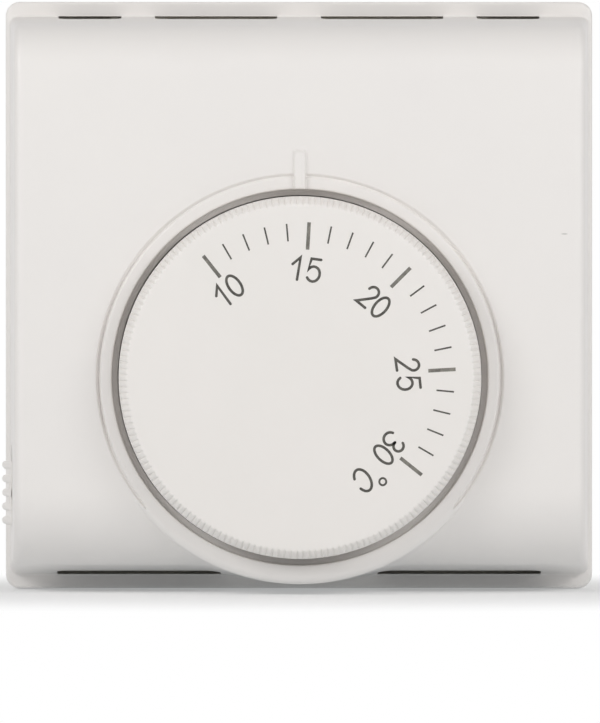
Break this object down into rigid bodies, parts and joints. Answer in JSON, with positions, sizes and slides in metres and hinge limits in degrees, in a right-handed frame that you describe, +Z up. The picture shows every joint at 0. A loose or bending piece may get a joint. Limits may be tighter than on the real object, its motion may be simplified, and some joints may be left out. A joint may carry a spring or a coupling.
{
  "type": "mechanical room thermostat",
  "caption": "Square white wall-mounted room thermostat with a round serrated setting dial marked in degrees C, a pointer rib and a slide switch on its left side.",
  "frame": {"origin": "centre of the back face, where the base plate lies on the wall", "axes": "+X to the right seen from the front, +Z up, the front looks towards -Y"},
  "size_m": [0.0834, 0.035, 0.083],
  "materials": {
    "cover_moulding": "fine satin",
    "dial_moulding": "fine satin",
    "base_moulding": "satin",
    "zinc_steel": "zinc plated",
    "spring_steel": "drawn",
    "brass": "turned",
    "bronze": "pressed sheet",
    "copper": "pressed sheet",
    "tinned_copper": "tinned",
    "natural_nylon": "natural",
    "black_phenolic": "moulded",
    "red_plastic": "moulded",
    "resistor_lacquer": "lacquered",
    "brown_pvc": "extruded",
    "black_pvc": "extruded",
    "red_pvc": "extruded"
  },
  "bodies": {
    "housing": {"base_plate": "base_moulding", "cover": "cover_moulding", "cover_screw": "zinc_steel", "wave_washer": "spring_steel", "spindle_bush": "brass", "limit_pins": "red_plastic", "bridge": "zinc_steel", "bridge_screws": "zinc_steel", "guide_pins": "zinc_steel", "range_spring": "spring_steel", "lever_pin": "zinc_steel", "pin_clip": "spring_steel", "capsule": "bronze", "chassis_plate": "zinc_steel", "chassis_screws": "zinc_steel", "snap_switch": "black_phenolic", "snap_blades": "brass", "snap_screws": "zinc_steel", "terminal_block": "natural_nylon", "terminal_clamps": "brass", "terminal_screws": "zinc_steel", "block_screws": "zinc_steel", "slide_case": "black_phenolic", "slide_blades": "brass", "heater_resistor": "resistor_lacquer", "heater_leads": "tinned_copper", "wire_live": "brown_pvc", "wire_link": "black_pvc", "wire_load": "red_pvc"},
    "dial": {"dial": "dial_moulding", "spindle": "zinc_steel", "spindle_clip": "spring_steel"},
    "adjuster": {"adjuster_nut": "brass"},
    "lever": {"lever": "zinc_steel", "calibration_screw": "brass", "calibration_nut": "brass"},
    "plunger": {"snap_plunger": "red_plastic"},
    "button": {"capsule_button": "natural_nylon"},
    "slider": {"slide_knob": "dial_moulding", "slide_bridge": "copper"}
  },
  "joints": [
    {"name": "dial_turn", "type": "hinge", "parent": "housing", "child": "dial", "pos_m": [0, -0.03, -0.0114], "axis": [0, -1, 0], "range_deg": [-41, 131]},
    {"name": "adjuster_slide", "type": "slide", "parent": "housing", "child": "adjuster", "axis": [0, 1, 0], "range_m": [-0.00035, 0.0011], "deforming": ["range_spring"]},
    {"name": "lever_tilt", "type": "hinge", "parent": "housing", "child": "lever", "pos_m": [0, -0.013, -0.034], "axis": [1, 0, 0], "range_deg": [-0.45, 0.6], "stiffness_Nm_per_rad": 0.3},
    {"name": "plunger_slide", "type": "slide", "parent": "housing", "child": "plunger", "axis": [0, -1, 0], "range_m": [-0.00038, 0.0005]},
    {"name": "button_slide", "type": "slide", "parent": "housing", "child": "button", "axis": [0, -1, 0], "range_m": [-0.00018, 0.00024]},
    {"name": "switch_slide", "type": "slide", "parent": "housing", "child": "slider", "axis": [0, 0, 1], "range_m": [0, 0.004]}
  ],
  "couplings": [
    {"joint": "adjuster_slide", "follows": "dial_turn", "m_per_rad": 0.00047746},
    {"joint": "plunger_slide", "follows": "lever_tilt", "m_per_rad": 0.0474},
    {"joint": "button_slide", "follows": "lever_tilt", "m_per_rad": 0.0226}
  ]
}
